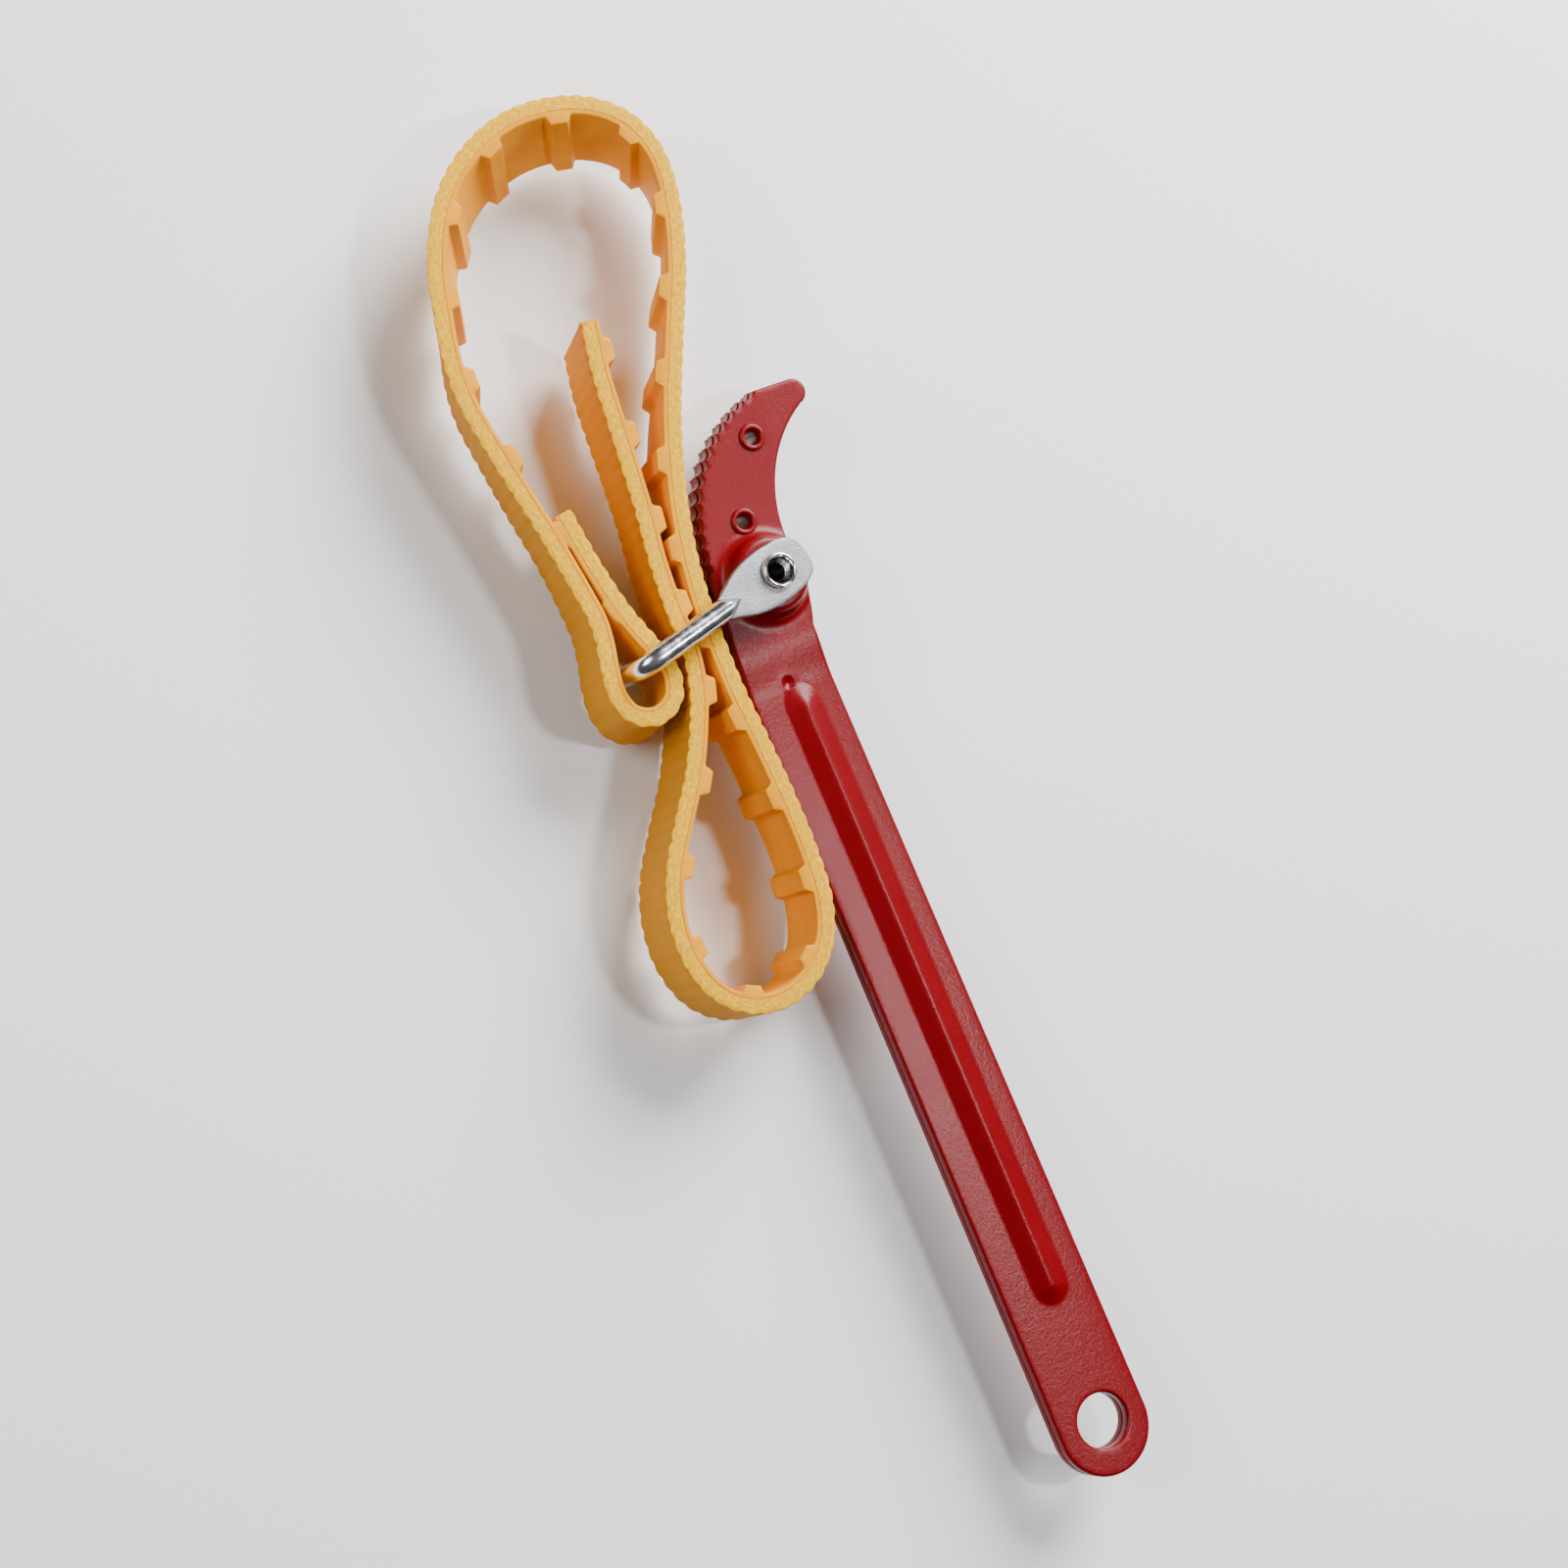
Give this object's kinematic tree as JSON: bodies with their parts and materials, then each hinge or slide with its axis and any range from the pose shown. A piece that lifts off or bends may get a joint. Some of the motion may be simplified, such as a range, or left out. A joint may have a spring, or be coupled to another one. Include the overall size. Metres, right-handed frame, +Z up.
{
  "type": "oil filter strap wrench",
  "caption": "Strap-type oil filter wrench with a stamped red handle, toothed hook jaw, swinging rod shackle and a ribbed yellow belt.",
  "frame": {"origin": "bottom centre of the whole tool's box, with the tool lying on its side and the belt standing on edge", "axes": "+Y runs along the handle towards the hook jaw, +X to the side that the jaw's tip leans to, +Z up, parallel to the pivot"},
  "size_m": [0.097, 0.388, 0.0354],
  "materials": {
    "red_paint": "fine-grained red powder coat, satin",
    "spacer_steel": "plain turned steel",
    "rivet_chrome": "bright plated",
    "shackle_steel": "bright zinc plate, matte on the pressed eyes",
    "strap_rubber": "moulded yellow belt, woven cut edges"
  },
  "bodies": {
    "handle": {"front_plate": "red_paint", "back_plate": "red_paint", "serrated_jaw": "red_paint", "horn_rivet_upper": "red_paint", "horn_rivet_lower": "red_paint", "pivot_spacer": "spacer_steel", "pivot_pin": "rivet_chrome"},
    "shackle": {"shackle": "shackle_steel"},
    "strap": {"strap": "strap_rubber"}
  },
  "joints": [
    {"name": "shackle_pivot", "type": "hinge", "parent": "handle", "child": "shackle", "pos_m": [0.01632, 0.05802, 0.0177], "axis": [0, 0, -1], "range_deg": [0, 25]},
    {"name": "strap_swing", "type": "hinge", "parent": "shackle", "child": "strap", "pos_m": [-0.02859, 0.04806, 0.0177], "axis": [0, 0, -1], "range_deg": [-25, 0]}
  ],
  "couplings": [
    {"joint": "strap_swing", "follows": "shackle_pivot", "ratio": -1}
  ]
}
